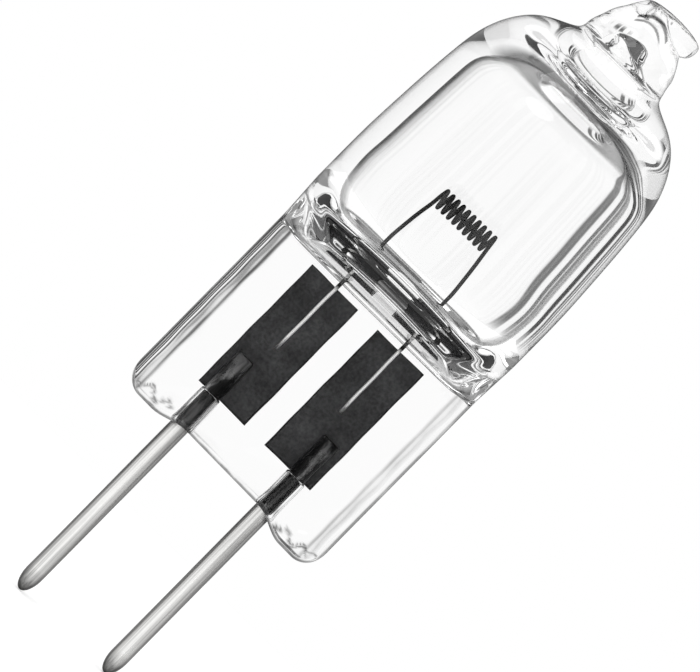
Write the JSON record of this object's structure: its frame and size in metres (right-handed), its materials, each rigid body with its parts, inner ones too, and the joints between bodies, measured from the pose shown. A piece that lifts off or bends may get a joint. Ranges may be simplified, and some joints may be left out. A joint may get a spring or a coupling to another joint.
{
  "type": "halogen capsule lamp",
  "caption": "Clear quartz halogen capsule lamp with a flattened seal, foil lead-ins, a coiled filament on its own legs and a two-pin push-in base.",
  "frame": {"origin": "midway between the two pin axes, in the plane where the pins leave the glass", "axes": "+Z along the lamp's axis from the pins to the exhaust tip; X through both pins; -Y towards the picture's camera"},
  "size_m": [0.0092, 0.0092, 0.0291],
  "materials": {
    "quartz": "polished",
    "molybdenum_foil": "satin",
    "molybdenum_pin": "satin",
    "tungsten": "satin"
  },
  "bodies": {
    "root": {"glass_envelope": "quartz", "foil_left": "molybdenum_foil", "foil_right": "molybdenum_foil", "pin_left": "molybdenum_pin", "pin_right": "molybdenum_pin", "filament": "tungsten"}
  },
  "joints": []
}
